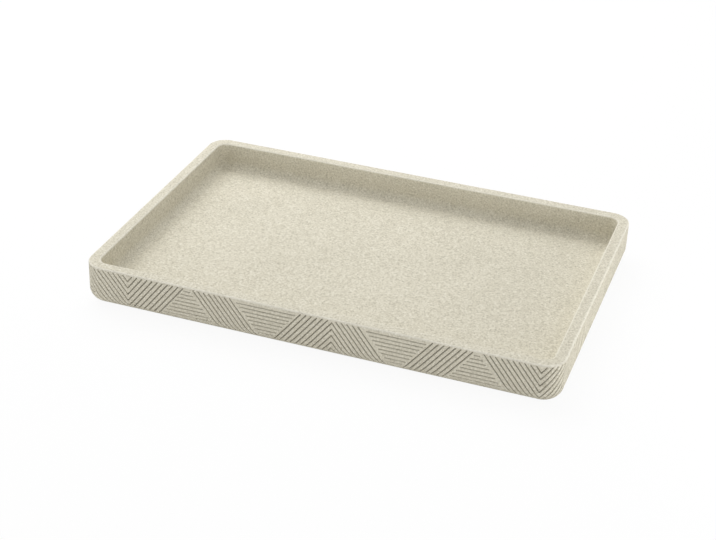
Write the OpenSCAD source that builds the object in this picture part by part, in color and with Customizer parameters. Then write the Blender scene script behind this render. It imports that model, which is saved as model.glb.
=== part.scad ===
// Shallow cast-stone tray for serving tea: one thick block with a well on top and four round
// pads pressed into recesses under it.
// Millimetres. X runs along the length, the front wall faces -Y, and Z is up.
// The origin is on the table, under the middle of the tray.

/* [Body] */
// Length of the tray over its end walls
length = 300; // [240:1:420]
// Width of the tray over its front and back walls
width = 200; // [150:1:300]
// Height of the cast body, from its underside to the rim
height = 27; // [24:0.5:40]
// Radius of the four upright corners
corner_r = 12.5; // [11:0.5:20]
// Radius of the rounding between the walls and the underside
base_r = 9; // [4:0.5:10]
// Radius of the soft edges on both sides of the rim
edge_r = 1.2; // [0.5:0.1:2]

/* [Well] */
// Width of the rim, which is the thickness of the walls
rim_w = 7.2; // [5:0.1:12]
// Thickness of the floor under the well
floor_t = 9; // [5:0.5:12]
// Radius of the well's four upright corners
well_r = 6.5; // [6.5:0.5:12]
// Radius of the cove between the well's walls and its floor
cove_r = 6; // [2:0.5:6]

/* [Pads] */
// Diameter of a pad
pad_d = 14; // [8:0.5:24]
// Thickness of a pad
pad_t = 2; // [1.5:0.1:4]
// How far a pad stands out below the body
pad_proud = 1; // [0.5:0.1:1.4]
// Bevel round the lower edge of a pad
pad_bevel = 0.3; // [0.1:0.1:0.4]
// Radial gap between a pad and its recess
pad_gap = 0.2; // [0.1:0.05:0.5]
// Distance from the tray's sides to the centre of a pad
pad_inset = 26; // [23:1:45]

/* [Hidden] */
$fn = 96;

underside_z = pad_proud;
rim_z = underside_z + height;
floor_z = underside_z + floor_t;

// What a rounding of radius r takes off a corner that lies at [r, r]
module waste(r) {
    difference() {
        square(r);
        circle(r);
    }
}

// Carries a section round a rectangle, l by w over the axes of its corners. The section's x is
// the distance outwards from an axis and its y is the height. The middle is filled from z0 to z1.
module swept(l, w, z0, z1) {
    for (i = [0:3]) {
        along = i % 2 == 0 ? l : w;
        across = i % 2 == 0 ? w : l;
        rotate(90 * i) translate([along / 2, -across / 2, 0]) rotate(-90) {
            rotate_extrude(angle = 90) children();
            rotate([90, 0, 0]) linear_extrude(along) children();
        }
    }
    translate([-l / 2, -w / 2, z0]) cube([l, w, z1 - z0]);
}

// The block before anything is cut out of it
module block() {
    swept(length - 2 * corner_r, width - 2 * corner_r, underside_z, rim_z) difference() {
        translate([0, underside_z]) square([corner_r, height]);
        translate([corner_r - base_r, underside_z + base_r]) mirror([0, 1]) waste(base_r);
        translate([corner_r - edge_r, rim_z - edge_r]) waste(edge_r);
    }
}

// The hollow, with its cove below and the soft edge of the rim above
module well() {
    over = 1;
    l = length - 2 * (rim_w + well_r);
    w = width - 2 * (rim_w + well_r);
    swept(l, w, floor_z, rim_z + over) {
        difference() {
            translate([0, floor_z]) square([well_r, rim_z + over - floor_z]);
            translate([well_r - cove_r, floor_z + cove_r]) mirror([0, 1]) waste(cove_r);
        }
        difference() {
            translate([0, rim_z - edge_r]) square([well_r + edge_r, edge_r + over]);
            translate([well_r + edge_r, rim_z - edge_r]) circle(edge_r);
        }
    }
}

module at_pad(x_side, y_side) {
    translate([x_side * (length / 2 - pad_inset), y_side * (width / 2 - pad_inset), 0]) children();
}

module tray_body() {
    color([0.84, 0.82, 0.75]) difference() {
        block();
        well();
        for (x_side = [-1, 1], y_side = [-1, 1]) at_pad(x_side, y_side)
            cylinder(h = pad_t, r = pad_d / 2 + pad_gap);
    }
}

module foot_pad(x_side, y_side) {
    color([0.25, 0.25, 0.24]) at_pad(x_side, y_side) {
        cylinder(h = pad_bevel, r1 = pad_d / 2 - pad_bevel, r2 = pad_d / 2);
        translate([0, 0, pad_bevel]) cylinder(h = pad_t - pad_bevel, r = pad_d / 2);
    }
}

tray_body();
foot_pad(-1, -1);  // foot_pad_front_left
foot_pad(1, -1);  // foot_pad_front_right
foot_pad(-1, 1);  // foot_pad_rear_left
foot_pad(1, 1);  // foot_pad_rear_right
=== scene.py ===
# %% [markdown]
# A shallow tea tray, cast in one block from stone powder and resin. The whole look of it comes from
# three things: the thick soft-edged block, the lines carved round its outer walls, and the fine sand
# in its surface. This lesson builds them in that order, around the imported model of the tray.
# The tray's own sizes are in millimetres, as a mould maker writes them, until a mesh is made of
# them. Lamps, floor and the height of the grain are in metres.

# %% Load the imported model
import math
import bmesh
import bpy
import numpy as np
from mathutils import Matrix, Vector
from mathutils.geometry import delaunay_2d_cdt


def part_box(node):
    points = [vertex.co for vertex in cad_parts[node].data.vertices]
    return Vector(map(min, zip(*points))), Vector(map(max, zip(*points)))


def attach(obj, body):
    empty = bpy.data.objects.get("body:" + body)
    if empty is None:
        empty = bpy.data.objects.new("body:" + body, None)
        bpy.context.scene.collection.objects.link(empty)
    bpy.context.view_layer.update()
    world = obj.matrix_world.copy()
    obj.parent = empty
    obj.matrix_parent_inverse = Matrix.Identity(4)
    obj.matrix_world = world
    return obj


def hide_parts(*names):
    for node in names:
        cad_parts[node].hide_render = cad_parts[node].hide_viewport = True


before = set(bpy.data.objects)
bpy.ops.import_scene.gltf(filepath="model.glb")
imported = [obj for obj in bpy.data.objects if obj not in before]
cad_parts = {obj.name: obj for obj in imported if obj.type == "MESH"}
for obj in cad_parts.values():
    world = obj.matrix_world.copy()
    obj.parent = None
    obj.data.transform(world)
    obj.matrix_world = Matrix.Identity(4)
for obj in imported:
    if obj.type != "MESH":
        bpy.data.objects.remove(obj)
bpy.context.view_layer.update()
MM = 0.001
print("nodes:", sorted(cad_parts))

# %% [markdown]
# The photograph was taken from the tray's front right, a little above it, with a long lens from
# further back, which keeps the far corners from shrinking. A camera can be placed by eye, but then
# the edges never quite fall where they should. So its place, its three angles and its lens were
# worked out from the tray's outline.

# %% Camera
CAMERA_MM = (276.44, -838.30, 508.90)
YAW, PITCH, ROLL = (math.radians(angle) for angle in (18.611, 29.719, 2.363))
LENS_MM = 79.66
SENSOR_MM = 36
# How far the camera sees, in metres
CAMERA_REACH = 20

forward = Vector((-math.sin(YAW) * math.cos(PITCH), math.cos(YAW) * math.cos(PITCH), -math.sin(PITCH)))
level_right = Vector((math.cos(YAW), math.sin(YAW), 0))
level_up = level_right.cross(forward)
right = math.cos(ROLL) * level_right + math.sin(ROLL) * level_up
up = math.cos(ROLL) * level_up - math.sin(ROLL) * level_right

camera_data = bpy.data.cameras.new("camera")
camera_data.lens = LENS_MM
camera_data.sensor_width = SENSOR_MM
camera_data.clip_end = CAMERA_REACH
camera = bpy.data.objects.new("camera", camera_data)
camera.matrix_world = (Matrix.Translation(Vector(CAMERA_MM) * MM)
                       @ Matrix((right, up, -forward)).transposed().to_4x4())
bpy.context.scene.collection.objects.link(camera)
bpy.context.scene.camera = camera
bpy.context.scene.view_settings.view_transform = "Standard"
print("camera at", [round(value, 3) for value in camera.location])

# %% [markdown]
# The light is that of a small product studio: one wide soft lamp above the tray, a weak one in
# front for the carved wall, and a low white card on the right for the end wall. A sun or a point
# lamp would draw hard shadows in the grooves, so all three are area lamps. They stay at a plain
# level, at which the stone renders in the colour that it is given.

# %% Lamps
def area_lamp(name, place, target, size, watts):
    """A rectangular lamp at a place, turned towards its target"""
    data = bpy.data.lights.new(name, "AREA")
    data.shape = "RECTANGLE"
    data.size, data.size_y = size
    data.energy = watts
    lamp = bpy.data.objects.new(name, data)
    lamp.location = place
    lamp.rotation_euler = (Vector(target) - Vector(place)).to_track_quat("-Z", "Y").to_euler()
    bpy.context.scene.collection.objects.link(lamp)
    print(name, watts, "W")


area_lamp("top_lamp", place=(-0.42, 0.45, 0.95), target=(0, 0, 0), size=(1.3, 1.1), watts=12.6)
area_lamp("front_fill", place=(-0.15, -1.0, 0.08), target=(0, -0.1, 0.015), size=(0.9, 0.14), watts=1.8)
area_lamp("right_card", place=(0.42, -0.02, 0.05), target=(0.15, 0, 0.012), size=(0.3, 0.08), watts=0.46)

# %% [markdown]
# A room lights what stands in it dimly from all sides, and the photograph has plain white behind
# the tray. One bright white room would give both, but it would wash the stone out. So a switch is
# put in: the camera's own rays meet white, and all other rays meet the dim room. The floor uses the
# same switch, by a share, so the switch is a function.

# %% Room
ROOM_LIGHT = 0.46


def show_to_camera(tree, lit, seen, output, share=1.0):
    """Gives a share of the camera's rays one shader and all other rays another"""
    path = tree.nodes.new("ShaderNodeLightPath")
    amount = tree.nodes.new("ShaderNodeMath")
    amount.operation = "MULTIPLY"
    amount.inputs[1].default_value = share
    switch = tree.nodes.new("ShaderNodeMixShader")
    tree.links.new(path.outputs["Is Camera Ray"], amount.inputs[0])
    tree.links.new(amount.outputs[0], switch.inputs["Fac"])
    tree.links.new(lit.outputs[0], switch.inputs[1])
    tree.links.new(seen.outputs[0], switch.inputs[2])
    tree.links.new(switch.outputs[0], output.inputs["Surface"])


world = bpy.data.worlds.new("room")
bpy.context.scene.world = world
world.use_nodes = True
room = world.node_tree
room.nodes.clear()
room_light = room.nodes.new("ShaderNodeBackground")
room_light.inputs["Color"].default_value = (1, 1, 1, 1)
room_light.inputs["Strength"].default_value = ROOM_LIGHT
room_white = room.nodes.new("ShaderNodeBackground")
room_white.inputs["Color"].default_value = (1, 1, 1, 1)
show_to_camera(room, room_light, room_white, room.nodes.new("ShaderNodeOutputWorld"))
print("room light", ROOM_LIGHT)

# %% [markdown]
# The floor is a white sweep. Most of what the camera sees of it is plain white, and the rest is lit,
# so that the tray still has its soft shadow under the rounded base. It lies a hair below the pads,
# because two faces at one height would flicker.

# %% Floor
SWEEP_HALF = 3.0
SWEEP_Z = -0.00005
# The sweep's white under the lamps, and how much of it the camera sees as plain white
SWEEP_WHITE = 0.9
SEEN_WHITE = 0.93

floor_mesh = bpy.data.meshes.new("floor")
corners = [(SWEEP_HALF * x, SWEEP_HALF * y, SWEEP_Z) for x, y in ((-1, -1), (1, -1), (1, 1), (-1, 1))]
floor_mesh.from_pydata(corners, [], [(0, 1, 2, 3)])
floor = bpy.data.objects.new("floor", floor_mesh)
bpy.context.scene.collection.objects.link(floor)

floor_finish = bpy.data.materials.new("white_sweep")
floor_finish.use_nodes = True
sweep = floor_finish.node_tree
sweep.nodes.clear()
sweep_lit = sweep.nodes.new("ShaderNodeBsdfDiffuse")
sweep_lit.inputs["Color"].default_value = (SWEEP_WHITE, SWEEP_WHITE, SWEEP_WHITE, 1)
sweep_seen = sweep.nodes.new("ShaderNodeEmission")
show_to_camera(sweep, sweep_lit, sweep_seen, sweep.nodes.new("ShaderNodeOutputMaterial"), SEEN_WHITE)
floor_mesh.materials.append(floor_finish)
print("floor", 2 * SWEEP_HALF, "m square")

# %% [markdown]
# The tray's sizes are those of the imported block. Its box gives length, width and height, and the
# radii and wall are the mould maker's choices. Sizes could be typed in for the box as well, but read
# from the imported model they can't drift away from it.

# %% Sizes of the block
low, high = (np.array(corner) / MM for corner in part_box("tray_body"))
LENGTH, WIDTH = high[0] - low[0], high[1] - low[1]
UNDERSIDE_Z, RIM_Z = low[2], high[2]
CORNER_R = 12.5
BASE_R = 9.0
EDGE_R = 1.2
RIM_W = 7.2
WELL_R = 6.5
COVE_R = 6.0
FLOOR_T = 9.0
FLOOR_Z = UNDERSIDE_Z + FLOOR_T
print("block", round(LENGTH, 2), "x", round(WIDTH, 2), "x", round(RIM_Z - UNDERSIDE_Z, 2), "mm")

# %% [markdown]
# Every height of the tray is a rounded rectangle, so the mesh is a pile of such rings. A ring is
# known by how far it lies inside the outer wall and by its corner radius. All rings have their
# points at the same places round the tray, which lets neighbouring rings be joined by simple faces.
# The carved outer wall needs fine points, about 0.25 mm apart, and the rest needs a quarter of them.

# %% Rings round the tray
RUN_X, RUN_Y = LENGTH - 2 * CORNER_R, WIDTH - 2 * CORNER_R
ARC = CORNER_R * math.pi / 2
AROUND = 2 * (RUN_X + RUN_Y + 2 * ARC)
COARSE = 4
FINE_STEP = 0.25


def fine_count(distance):
    """How many fine steps fit a distance, as a multiple of COARSE"""
    return COARSE * round(distance / FINE_STEP / COARSE)


def ring(inset, radius, every=1):
    """Points and outward directions of a ring, every fine step or every few of them"""
    points, ways = [], []
    for wall in range(4):
        turned = math.radians(90 * wall)
        along = np.array((math.cos(turned), math.sin(turned)))
        out = np.array((math.sin(turned), -math.cos(turned)))
        half_along, half_out = (LENGTH / 2, WIDTH / 2) if wall % 2 == 0 else (WIDTH / 2, LENGTH / 2)
        straight = half_along - inset - radius
        count = fine_count(RUN_X if wall % 2 == 0 else RUN_Y)
        share = (np.arange(0, count, every) / count)[:, None]
        points.append(out * (half_out - inset) + along * straight * (2 * share - 1))
        ways.append(np.repeat(out[None], len(share), axis=0))
        count = fine_count(ARC)
        bend = (np.arange(0, count, every) / count * math.pi / 2)[:, None]
        way = out * np.cos(bend) + along * np.sin(bend)
        points.append(out * (half_out - inset - radius) + along * straight + way * radius)
        ways.append(way)
    return np.vstack(points), np.vstack(ways)


def places_round():
    """The distance of each fine step round the outer wall, from the middle of the front wall"""
    places, start = [], -RUN_X / 2
    for wall in range(4):
        for distance in (RUN_X if wall % 2 == 0 else RUN_Y, ARC):
            count = fine_count(distance)
            places.append(start + np.arange(count) / count * distance)
            start += distance
    return np.concatenate(places)


PLACES = places_round()
print(len(PLACES), "fine steps round the wall")

# %% [markdown]
# The pattern is an old one: bands of slanted strokes that lean towards each other in valleys and
# peaks, with short level strokes in the gaps. An image could carry it, but its lines would blur when
# the camera comes near. A carver would draw it on a strip of paper wrapped round the block, and that
# is done here: each stroke is a line, in distance round the wall and height.

# %% Measures of the pattern
LINE_W = 0.5
SLANT_PITCH = 3.4
LEVEL_PITCH = 2.5
# The slant of a stroke, in degrees from level, and how much it climbs over each millimetre
SLANT = 52
RISE = math.tan(math.radians(SLANT))
# Where the slanted strokes start under the rim, where the level ones do, and where both end
LINE_TOP = RIM_Z - 1.6
LEVEL_TOP = RIM_Z - 3.3
LINE_BOTTOM = UNDERSIDE_Z + 3.5
# How far under the top the strokes of two bands meet
VALLEY_DROP, PEAK_DROP = 3.8, 1.1
# Widths of bands and gaps at half height, and a band's distance from a gap
BAND_W, NARROW_GAP_W, WIDE_GAP_W = 29.5, 18.0, 22.0
GAP_MARGIN = SLANT_PITCH / 2
FOLD_W = 3 * BAND_W + NARROW_GAP_W + WIDE_GAP_W
# The peak on the front wall, and how far the valleys on both sides are from it
PEAK_X, LEFT_FOLD, RIGHT_FOLD = 13.0, 132.0, 125.5

MID_Z = (LINE_TOP + LINE_BOTTOM) / 2
HALF_RUN = (LINE_TOP - MID_Z) / RISE
print("strokes from", round(LINE_BOTTOM, 2), "to", round(LINE_TOP, 2), "mm")

# %% [markdown]
# A fold of the pattern runs from a valley to a peak. It holds three bands of slanted strokes and,
# between them, a gap that narrows upwards and one that widens. Each stroke could be placed by hand,
# but a rule for each kind keeps them parallel and evenly spaced, as a carver's ruler does.

# %% Strokes of a fold
def band(one, least, most, climb, fold):
    """Slanted strokes of a band, each cut off at the ends of the fold

    Their middles keep the pitch from the one given and lie between the least and the most.
    """
    lines = []
    first, last = math.ceil((least - one) / SLANT_PITCH), math.floor((most - one) / SLANT_PITCH)
    for step in range(first, last + 1):
        middle = one + step * SLANT_PITCH
        ends = [min(max(middle + way * climb * HALF_RUN, 0), fold) for way in (-1, 1)]
        heights = [MID_Z + climb * (end - middle) * RISE for end in ends]
        lines.append((ends[0], heights[0], ends[1], heights[1]))
    return lines


def level_strokes(middle, half_w, widen):
    """Level strokes of a gap that widens (1) or narrows (-1) upwards"""
    lines = []
    z = LEVEL_TOP
    while z >= LINE_BOTTOM + LINE_W:
        half = half_w + widen * (z - MID_Z) / RISE
        if half > LEVEL_PITCH / 2:
            lines.append((middle - half, z, middle + half, z))
        z -= LEVEL_PITCH
    return lines


def fold_lines(fold):
    """All strokes from a valley to a peak, with bands and gaps stretched to fill the fold"""
    stretch = fold / FOLD_W
    # Widths of a band, the narrow gap and the wide gap in this fold
    b, n, w = BAND_W * stretch, NARROW_GAP_W * stretch, WIDE_GAP_W * stretch
    valley_line = VALLEY_DROP / RISE - HALF_RUN
    peak_line = fold - HALF_RUN + PEAK_DROP / RISE
    return (band(valley_line, LINE_W - HALF_RUN, b - GAP_MARGIN, 1, fold)
            + level_strokes(b + n / 2, n / 2, -1)
            + band(1.5 * b + n + SLANT_PITCH / 2, b + n + GAP_MARGIN, 2 * b + n - GAP_MARGIN, -1, fold)
            + level_strokes(2 * b + n + w / 2, w / 2, 1)
            + band(peak_line, fold - b + GAP_MARGIN, fold + HALF_RUN - LINE_W, 1, fold))


sample = fold_lines(LEFT_FOLD)
print(len(sample), "strokes in the fold left of the front peak")

# %% [markdown]
# Round the tray, valleys and peaks take turns. The two folds of the front wall are measured. The
# rest of the way round is shared out in an even number of equal folds, so that the pattern closes.

# %% Pattern round the tray
def pattern_lines():
    """All strokes, each as place and height of one end and of the other"""
    rest = AROUND - LEFT_FOLD - RIGHT_FOLD
    folds = 2 * max(1, round(rest / FOLD_W / 2))
    tips = [PEAK_X - LEFT_FOLD, PEAK_X]
    tips += [PEAK_X + RIGHT_FOLD + step * rest / folds for step in range(folds + 1)]
    lines = []
    for index in range(len(tips) - 1):
        valley = tips[index + index % 2]
        way = 1 if index % 2 == 0 else -1
        for t0, z0, t1, z1 in fold_lines(tips[index + 1] - tips[index]):
            lines.append((valley + way * t0, z0, valley + way * t1, z1))
    return lines


LINES = pattern_lines()
print(len(LINES), "carved lines")

# %% [markdown]
# A cast line has no crisp edge: the mould leaves a groove with soft shoulders and a round bottom.
# A bump in the material could fake it, but the tray's outline would stay smooth, so the points of
# the wall are pushed in. The depth at each comes from its distance to the nearest line, and level
# lines are the shallower ones. Where the strip closes on itself, the lines are tried once more, a
# full turn on.

# %% Depth of the carving
LINE_DEPTH = 1.0
# How deep a level line is, as a share of a slanted one
LEVEL_SHARE = 0.65
# How far a groove's soft shoulder reaches to each side of its edge
SHOULDER = 0.15


def carving(places, heights):
    """Depth of the carving, rows by height and columns by place round the wall"""
    depth = np.zeros((len(heights), len(places)))
    reach = LINE_W / 2 + SHOULDER
    for turn in (0, AROUND):
        for s0, z0, s1, z1 in LINES:
            # Only the places within the line's reach
            first, last = np.searchsorted(places + turn, (min(s0, s1) - reach, max(s0, s1) + reach))
            if first == last:
                continue
            # How far each point lies from the nearest point of the line
            s = places[first:last] + turn
            run = np.array((s1 - s0, z1 - z0))
            ds, dz = s[None, :] - s0, heights[:, None] - z0
            share = np.clip((ds * run[0] + dz * run[1]) / (run @ run), 0, 1)
            away = np.hypot(ds - share * run[0], dz - share * run[1])
            # A soft step over the shoulder, and the deepest line wins
            t = np.clip((reach - away) / (2 * SHOULDER), 0, 1)
            cut = LINE_DEPTH * (LEVEL_SHARE if z0 == z1 else 1) * t * t * (3 - 2 * t)
            depth[:, first:last] = np.maximum(depth[:, first:last], cut)
    return depth


middle_depths = carving(PLACES, np.array((MID_Z,)))[0]
print("carved share of the wall at half height:", round(float((middle_depths > 0).mean()), 2))

# %% [markdown]
# Now the block itself. A cube with bevels and a displacement would need the fine faces of the
# grooves everywhere. Piled up ring by ring, the block has them only in its carved wall. Every point
# also keeps how deep it is carved, which lays painted shade in the grooves, and how much painted
# highlight it gets on the rim's edges, both for the stone's colour.

# %% Points and faces of the block
ROUND_STEPS = 6
# Each point keeps its carved depth, which also sets painted shade in the grooves, and its share of painted
# highlight on the rim's edges
vertices, carved, edge_highlights, faces = [], [], [], []


def add_points(xy, z, depth=None, edge_highlight=0.0):
    """Adds points and returns their numbers"""
    start = sum(len(part) for part in vertices)
    z = np.broadcast_to(z, len(xy))
    vertices.append(np.column_stack((xy, z)))
    carved.append(np.zeros(len(xy)) if depth is None else depth)
    edge_highlights.append(np.full(len(xy), edge_highlight))
    return np.arange(start, start + len(xy))


def join(upper, lower):
    """Faces between two rings, where the second may be the coarser one"""
    step = len(upper) // len(lower)
    for index in range(len(lower)):
        fine = [upper[(index * step + k) % len(upper)] for k in range(step + 1)]
        after = lower[(index + 1) % len(lower)]
        faces.append([int(point) for point in (*fine, after, lower[index])])


def quarter_turn(steps):
    """The angles of a rounding, from just after its start to its end"""
    return [math.pi / 2 * step / steps for step in range(1, steps + 1)]


print("a soft edge turns by", [round(math.degrees(bend)) for bend in quarter_turn(ROUND_STEPS)], "degrees")

# %% [markdown]
# The outer wall is what people see and touch first. Its fine rows run from the rim's soft edge down
# to the turn under the base, and each is pushed in by the carving, square to the surface there. They
# stop just below the strokes' feet, because nothing is carved further down.

# %% Outer wall
# Height of the last fine row over the underside
FINE_END = 2.6


def outer_rows():
    """Inset, height and facing of each fine row, and the angle at which they end"""
    wall_top, wall_foot = RIM_Z - EDGE_R, UNDERSIDE_Z + BASE_R
    count = round((wall_top - wall_foot) / FINE_STEP)
    rows = [(0, z, 1, 0) for z in np.linspace(wall_top, wall_foot, count + 1)]
    bend_end = math.asin((BASE_R - FINE_END) / BASE_R)
    count = round(bend_end * BASE_R / FINE_STEP)
    for bend in np.linspace(0, bend_end, count + 1)[1:]:
        rows.append((BASE_R * (1 - math.cos(bend)), wall_foot - BASE_R * math.sin(bend),
                     math.cos(bend), -math.sin(bend)))
    return rows, bend_end


rows, bend_end = outer_rows()
depths = carving(PLACES, np.array([row[1] for row in rows]))
wall_rings = []
for (inset, z, facing_out, facing_up), depth in zip(rows, depths):
    xy, way = ring(inset, CORNER_R - inset)
    wall_rings.append(add_points(xy - way * (depth * facing_out)[:, None], z - depth * facing_up, depth))
for upper, lower in zip(wall_rings, wall_rings[1:]):
    join(upper, lower)
print(len(rows), "fine rows, deepest groove", round(float(depths.max()), 2), "mm")

# %% [markdown]
# The rim is where the mould was filled and the casting was rubbed down by hand. It is never quite
# straight, so it dips a little by a few long and short waves. A noise would do too, but waves of a
# whole number close round the tray. Both its soft edges get a painted highlight, lightest at the
# middle of their rounding.

# %% Rim
# The rim's dip at its deepest, in millimetres, and its level and waves as shares of that
RIM_DIP = 0.14
DIP_LEVEL = 0.5
# Number round the tray, height and start of each wave
DIP_WAVES = ((5, 0.2, 0.6), (13, 0.17, 2.1), (31, 0.13, 4.0))
# Places of the rings on the flat of the rim, as shares of its width
FLAT_SHARES = (0.33, 0.67, 1.0)

turns = (PLACES[::COARSE] + RUN_X / 2) / AROUND * 2 * math.pi
waves = (height * np.sin(number * turns + start) for number, height, start in DIP_WAVES)
dips = RIM_DIP * sum(waves, DIP_LEVEL)


def next_ring(upper, inset, radius, z, dip=0.0, edge_highlight=0.0):
    """Adds a coarse ring, joins the ring before it to it, and returns it"""
    xy, _ = ring(inset, radius, COARSE)
    lower = add_points(xy, z - dips * dip, edge_highlight=edge_highlight)
    join(upper, lower)
    return lower


well_axis = RIM_W + WELL_R
latest = wall_rings[0]
# Each soft edge of the rim gets painted highlight, most at the middle of its rounding
for bend in quarter_turn(ROUND_STEPS):
    inset = EDGE_R * (1 - math.cos(bend))
    z = RIM_Z - EDGE_R * (1 - math.sin(bend))
    latest = next_ring(latest, inset, CORNER_R - inset, z, math.sin(bend), math.sin(2 * bend))
flat_start, flat_end = EDGE_R, RIM_W - EDGE_R
for share in FLAT_SHARES:
    inset = flat_start + share * (flat_end - flat_start)
    radius = (1 - share) * (CORNER_R - flat_start) + share * (well_axis - flat_end)
    latest = next_ring(latest, inset, radius, RIM_Z, 1.0)
for bend in quarter_turn(ROUND_STEPS):
    inset = flat_end + EDGE_R * math.sin(bend)
    z = RIM_Z - EDGE_R * (1 - math.cos(bend))
    latest = next_ring(latest, inset, well_axis - inset, z, math.cos(bend), math.sin(2 * bend))
print("rim", RIM_W, "mm wide, lowest", round(float(dips.max()), 2), "mm under its full height")

# %% [markdown]
# The well holds the cups and any spilled water. Its wall ends in a cove, so that a cloth reaches
# every place and the casting comes out of its mould. The rings go on inwards, down the wall and
# round the cove, and one face closes the floor. A last ring just inside the cove keeps the soft
# shading of the cove from spreading over the flat floor.

# %% Well
WELL_WALL_STEPS = 4
COVE_STEPS = 12
FLOOR_EDGE = 0.3

for z in np.linspace(RIM_Z - EDGE_R, FLOOR_Z + COVE_R, WELL_WALL_STEPS + 1)[1:]:
    latest = next_ring(latest, RIM_W, WELL_R, z)
for bend in quarter_turn(COVE_STEPS):
    inset = RIM_W + COVE_R * (1 - math.cos(bend))
    latest = next_ring(latest, inset, well_axis - inset, FLOOR_Z + COVE_R * (1 - math.sin(bend)))
latest = next_ring(latest, RIM_W + COVE_R + FLOOR_EDGE, WELL_R - COVE_R - FLOOR_EDGE, FLOOR_Z)
faces.append(latest.tolist())
print("well", round(FLOOR_Z, 1), "to", round(RIM_Z, 1), "mm")

# %% [markdown]
# Under the carved rows the wall turns in to the underside, so the tray seems to float on its own
# shadow. The rounding goes on where the fine rows stopped, with coarse rings, and ends in a ring on
# the flat underside.

# %% Rounded base
BASE_STEPS = 6
UNDERSIDE_EDGE = 1

latest = wall_rings[-1]
for bend in np.linspace(bend_end, math.pi / 2, BASE_STEPS + 1)[1:]:
    inset = BASE_R * (1 - math.cos(bend))
    latest = next_ring(latest, inset, CORNER_R - inset, UNDERSIDE_Z + BASE_R * (1 - math.sin(bend)))
flat_inset = BASE_R + UNDERSIDE_EDGE
flat_ring = next_ring(latest, flat_inset, CORNER_R - flat_inset, UNDERSIDE_Z)
print("underside starts", flat_inset, "mm inside the walls")

# %% [markdown]
# Each pad is pressed into a shallow round recess, which keeps it from sliding off. A recess could be
# cut with a Boolean modifier, but on a mesh this fine that is slow and can leave slivers. Here each
# recess gets its mouth, wall and ceiling, and the flat between the four mouths and the outer ring is
# then filled with triangles.

# %% Underside and its recesses
PAD_GAP = 0.2
CIRCLE_POINTS = 64
# Points nearer than this, in millimetres, count as one
SAME_POINT = 1e-6
PADS = ["foot_pad_front_left", "foot_pad_front_right", "foot_pad_rear_left", "foot_pad_rear_right"]
pad_boxes = {name: [np.array(corner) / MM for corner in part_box(name)] for name in PADS}

circle = np.linspace(0, 2 * math.pi, CIRCLE_POINTS, endpoint=False)
loops, numbers = [vertices[-1][:, :2]], [flat_ring]
for pad_low, pad_high in pad_boxes.values():
    centre = (pad_low + pad_high)[:2] / 2
    radius = (pad_high[0] - pad_low[0]) / 2 + PAD_GAP
    mouth_xy = centre + radius * np.column_stack((np.cos(circle), np.sin(circle)))
    mouth, ceiling = add_points(mouth_xy, UNDERSIDE_Z), add_points(mouth_xy, pad_high[2])
    join(mouth, ceiling)
    faces.append(ceiling.tolist())
    loops.append(mouth_xy)
    numbers.append(mouth)
flat_points = np.vstack(loops)
flat_numbers = np.concatenate(numbers)
edges, start = [], 0
for loop in loops:
    edges += [(start + k, start + (k + 1) % len(loop)) for k in range(len(loop))]
    start += len(loop)

points, _, triangles, origins, _, _ = delaunay_2d_cdt(
    [Vector(point) for point in flat_points], edges, [], 0, SAME_POINT)
for triangle in triangles:
    middle = sum((points[corner] for corner in triangle), Vector((0, 0))) / 3
    if all((middle - Vector(loop.mean(axis=0))).length > np.ptp(loop[:, 0]) / 2 for loop in loops[1:]):
        faces.append([int(flat_numbers[origins[corner][0]]) for corner in triangle])
print(len(faces), "faces in the block")

# %% [markdown]
# The lists become one mesh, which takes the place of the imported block. The faces were listed without
# thought for which side is out, so their normals are worked out afterwards. The two marks go along
# as attributes of the points, where a material can read them. A closed block has no open edges, and
# that is counted.

# %% Put the block in the scene
block_mesh = bpy.data.meshes.new("tea_tray")
block_mesh.from_pydata((np.vstack(vertices) * MM).tolist(), [], faces)
# The carved depth lays painted shade in the grooves, and the second mark is painted highlight on the rim's
# edges
groove = block_mesh.attributes.new("groove", "FLOAT", "POINT")
groove.data.foreach_set("value", (np.concatenate(carved) / LINE_DEPTH).astype(np.float32))
edge_highlight_mark = block_mesh.attributes.new("edge_highlight", "FLOAT", "POINT")
edge_highlight_mark.data.foreach_set("value", np.concatenate(edge_highlights).astype(np.float32))
shell = bmesh.new()
shell.from_mesh(block_mesh)
bmesh.ops.recalc_face_normals(shell, faces=shell.faces)
for face in shell.faces:
    face.smooth = True
open_edges = sum(1 for edge in shell.edges if not edge.is_manifold)
shell.to_mesh(block_mesh)
shell.free()
tea_tray = bpy.data.objects.new("tea_tray", block_mesh)
bpy.context.scene.collection.objects.link(tea_tray)
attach(tea_tray, "root")
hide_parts("tray_body")
print("open edges:", open_edges)

# %% [markdown]
# The pads are soft rubber discs. A real one has a moulded bevel, a slightly hollow face that grips
# the table, and a raised ring. Each is a turned profile, which is how its mould is cut too. A Screw
# modifier could turn it, but written out, the turn shows how such a mesh is joined.

# %% Pads
PAD_TURNS = 64
# Share of the pad's radius and height over the table, from the hub outwards
HUB_HEIGHT = 0.35
HOLLOW = ((0.55, 0.32), (0.70, 0.28), (0.76, 0.10), (0.80, 0.02))
RAISED_RING = ((0.86, 0.0), (0.93, 0.0))
BEVEL = ((0.97, 0.08), (0.99, 0.2), (1.0, 0.38))


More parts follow.
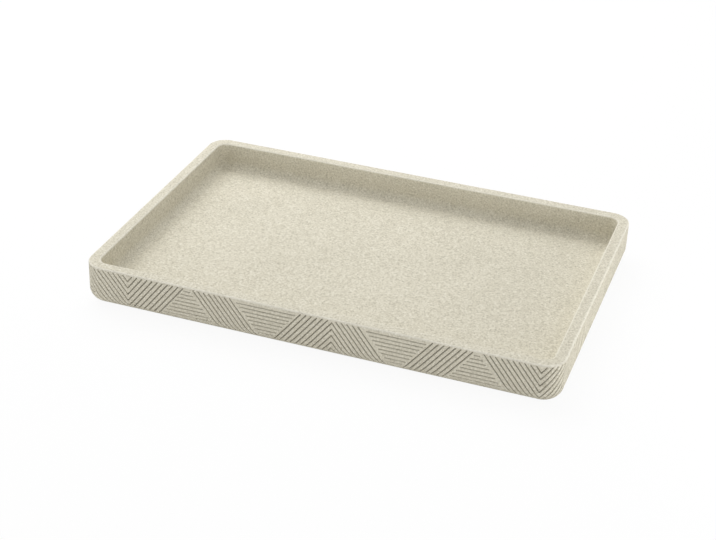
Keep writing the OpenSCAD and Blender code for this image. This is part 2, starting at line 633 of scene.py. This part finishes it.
def turned_pad(name):
    """A pad turned about the middle of its node's box, in that node's place"""
    (x0, y0, z0), (x1, y1, z1) = pad_boxes[name]
    centre, radius = ((x0 + x1) / 2, (y0 + y1) / 2), (x1 - x0) / 2
    mesh = bpy.data.meshes.new(name + "_rubber")
    pad = bmesh.new()
    rings = []
    for share, z in (*HOLLOW, *RAISED_RING, *BEVEL, (1.0, z1 - z0)):
        rings.append([pad.verts.new(((centre[0] + radius * share * math.cos(a)) * MM,
                                     (centre[1] + radius * share * math.sin(a)) * MM, (z0 + z) * MM))
                      for a in np.linspace(0, 2 * math.pi, PAD_TURNS, endpoint=False)])
    for inner, outer in zip(rings, rings[1:]):
        for k in range(PAD_TURNS):
            after = (k + 1) % PAD_TURNS
            pad.faces.new((inner[k], inner[after], outer[after], outer[k]))
    hub = pad.verts.new((centre[0] * MM, centre[1] * MM, (z0 + HUB_HEIGHT) * MM))
    for k in range(PAD_TURNS):
        pad.faces.new((hub, rings[0][(k + 1) % PAD_TURNS], rings[0][k]))
    top = pad.faces.new(rings[-1])
    bmesh.ops.recalc_face_normals(pad, faces=pad.faces)
    for face in pad.faces:
        face.smooth = face != top
    pad.to_mesh(mesh)
    pad.free()
    piece = bpy.data.objects.new(name + "_rubber", mesh)
    bpy.context.scene.collection.objects.link(piece)
    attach(piece, "root")
    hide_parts(name)
    return piece


pads = [turned_pad(name) for name in PADS]
print(len(pads), "pads")

# %% [markdown]
# Stone powder and rubber both show grains, one as sand and one as fine dust. The nodes could be
# written out in each material, but then a change has to be made twice, so the grain is a node group
# with a size of its own in each. It gives a mask of light grains, a mask of dark ones with some
# scattered specks, a slow drift of tone and a height for the bump.

# %% Grain, a shared effect
# Detail and roughness of the three noises
SAND, SPECKS, DRIFT = (3.0, 0.7), (1.0, 0.5), (3.0, 0.55)
# The specks' number over that of the sand
SPECK_SCALE = 0.8
# Noise values at which a mask starts and is full
LIGHT_SPAN, DARK_SPAN, SPECK_SPAN = (0.52, 0.66), (0.47, 0.30), (0.31, 0.25)
DRIFT_PER_METRE = 25


def scaled(tree, value, factor):
    """A value times a factor"""
    node = tree.nodes.new("ShaderNodeMath")
    node.operation = "MULTIPLY"
    node.inputs[1].default_value = factor
    tree.links.new(value, node.inputs[0])
    return node.outputs[0]


def noise(group, per_metre, look):
    """A noise that sits still on the piece, with so many grains to the metre"""
    place = group.nodes.new("ShaderNodeTexCoord")
    node = group.nodes.new("ShaderNodeTexNoise")
    node.inputs["Detail"].default_value, node.inputs["Roughness"].default_value = look
    group.links.new(place.outputs["Object"], node.inputs["Vector"])
    group.links.new(per_metre, node.inputs["Scale"])
    return node.outputs["Fac"]


def mask(group, value, span):
    """0 where a noise is at the start of its span, and 1 from the end of it on"""
    node = group.nodes.new("ShaderNodeMapRange")
    node.inputs["From Min"].default_value, node.inputs["From Max"].default_value = span
    group.links.new(value, node.inputs["Value"])
    return node.outputs["Result"]


def make_grain_group():
    """The grain's node group, with its named inputs and outputs"""
    group = bpy.data.node_groups.new("grain", "ShaderNodeTree")
    sockets = group.interface
    for name in ("Grains per metre", "Drift per metre"):
        sockets.new_socket(name=name, in_out="INPUT", socket_type="NodeSocketFloat")
    for name in ("Light grains", "Dark grains", "Drift", "Height"):
        sockets.new_socket(name=name, in_out="OUTPUT", socket_type="NodeSocketFloat")
    given, made = group.nodes.new("NodeGroupInput").outputs, group.nodes.new("NodeGroupOutput").inputs

    sand = noise(group, given["Grains per metre"], SAND)
    specks = noise(group, scaled(group, given["Grains per metre"], SPECK_SCALE), SPECKS)
    darkest = group.nodes.new("ShaderNodeMath")
    darkest.operation = "MAXIMUM"
    group.links.new(mask(group, sand, DARK_SPAN), darkest.inputs[0])
    group.links.new(mask(group, specks, SPECK_SPAN), darkest.inputs[1])
    group.links.new(mask(group, sand, LIGHT_SPAN), made["Light grains"])
    group.links.new(darkest.outputs[0], made["Dark grains"])
    group.links.new(noise(group, given["Drift per metre"], DRIFT), made["Drift"])
    group.links.new(sand, made["Height"])
    return group


GRAIN = make_grain_group()
print("grain outputs:", [socket.name for socket in GRAIN.interface.items_tree if socket.in_out == "OUTPUT"])

# %% [markdown]
# Two finishes share one recipe: a base colour that drifts a little, light and dark grains over it,
# and a shallow bump from the same grains. Layers of Mix nodes are used for it, because each layer
# can be told apart and changed alone. Only the stone has marks, so only its recipe reads them: the
# grooves get painted shade, a dark colour laid in by their depth, and the rim's edges get a painted
# highlight in the light grains' colour.

# %% Recipe of a grained material
SPECULAR = 0.25
BUMP_STRENGTH = 0.6
# How strongly the grooves are painted with shade, and the rim's edges with a highlight
GROOVE_SHADE_SHARE = 0.95
EDGE_HIGHLIGHT_SHARE = 0.5


def mix_colour(tree, share, first, second):
    """The first colour, turned into the second by a share"""
    node = tree.nodes.new("ShaderNodeMix")
    node.data_type = "RGBA"
    tree.links.new(share, node.inputs["Factor"])
    for socket, colour in ((node.inputs["A"], first), (node.inputs["B"], second)):
        if isinstance(colour, tuple):
            socket.default_value = colour + (1,)
        else:
            tree.links.new(colour, socket)
    return node.outputs["Result"]


def point_mark(tree, name):
    """A mark that the points of the piece carry"""
    node = tree.nodes.new("ShaderNodeAttribute")
    node.attribute_name = name
    return node.outputs["Fac"]


def grained_material(name, tones, light, dark, per_metre, grain_share, roughness, bump_height,
                     groove_shade_colour=None):
    """A grained finish. A groove shade colour asks for the block's painted shade in the grooves and painted
    highlight on the rim's edges as well
    """
    material = bpy.data.materials.new(name)
    material.use_nodes = True
    tree = material.node_tree
    surface = tree.nodes["Principled BSDF"]
    grain = tree.nodes.new("ShaderNodeGroup")
    grain.node_tree = GRAIN
    grain.inputs["Grains per metre"].default_value = per_metre
    grain.inputs["Drift per metre"].default_value = DRIFT_PER_METRE
    colour = mix_colour(tree, grain.outputs["Drift"], *tones)
    colour = mix_colour(tree, scaled(tree, grain.outputs["Light grains"], grain_share), colour, light)
    colour = mix_colour(tree, scaled(tree, grain.outputs["Dark grains"], grain_share), colour, dark)
    # Painted highlight on the rim's soft edges, then painted shade in the grooves by their carved depth
    if groove_shade_colour:
        edge_highlight = scaled(tree, point_mark(tree, "edge_highlight"), EDGE_HIGHLIGHT_SHARE)
        colour = mix_colour(tree, edge_highlight, colour, light)
        depth = scaled(tree, point_mark(tree, "groove"), GROOVE_SHADE_SHARE)
        colour = mix_colour(tree, depth, colour, groove_shade_colour)
    tree.links.new(colour, surface.inputs["Base Color"])
    surface.inputs["Roughness"].default_value = roughness
    surface.inputs["Specular IOR Level"].default_value = SPECULAR
    relief = tree.nodes.new("ShaderNodeBump")
    relief.inputs["Distance"].default_value = bump_height
    relief.inputs["Strength"].default_value = BUMP_STRENGTH
    tree.links.new(grain.outputs["Height"], relief.inputs["Height"])
    tree.links.new(relief.outputs["Normal"], surface.inputs["Normal"])
    return material


print("grooves darkened by", GROOVE_SHADE_SHARE, "and edges lightened by", EDGE_HIGHLIGHT_SHARE)

# %% [markdown]
# The stone is a warm grey, nearly matt, with grains of about a millimetre. The rubber is almost
# black, with grains so fine that they only dull its sheen. Plain colours would look like plastic
# from near by, so both get their grains from the recipe, each with its own sizes.

# %% Materials
cast_stone = grained_material(
    "cast_stone",
    tones=((0.61, 0.575, 0.465), (0.70, 0.66, 0.54)),
    # The light grains' colour, also used for the painted highlight on the rim's edges
    light=(0.90, 0.87, 0.77),
    dark=(0.28, 0.25, 0.19),
    per_metre=850,
    grain_share=0.62,
    roughness=0.85,
    bump_height=0.0006,
    # The colour of the painted shade in the grooves
    groove_shade_colour=(0.22, 0.20, 0.155))
pad_rubber = grained_material(
    "pad_rubber",
    tones=((0.040, 0.040, 0.038), (0.060, 0.060, 0.058)),
    light=(0.09, 0.09, 0.088),
    dark=(0.02, 0.02, 0.02),
    per_metre=3500,
    grain_share=0.4,
    roughness=0.7,
    bump_height=0.0001)
tea_tray.data.materials.append(cast_stone)
for pad in pads:
    pad.data.materials.append(pad_rubber)
print("materials:", cast_stone.name, pad_rubber.name)
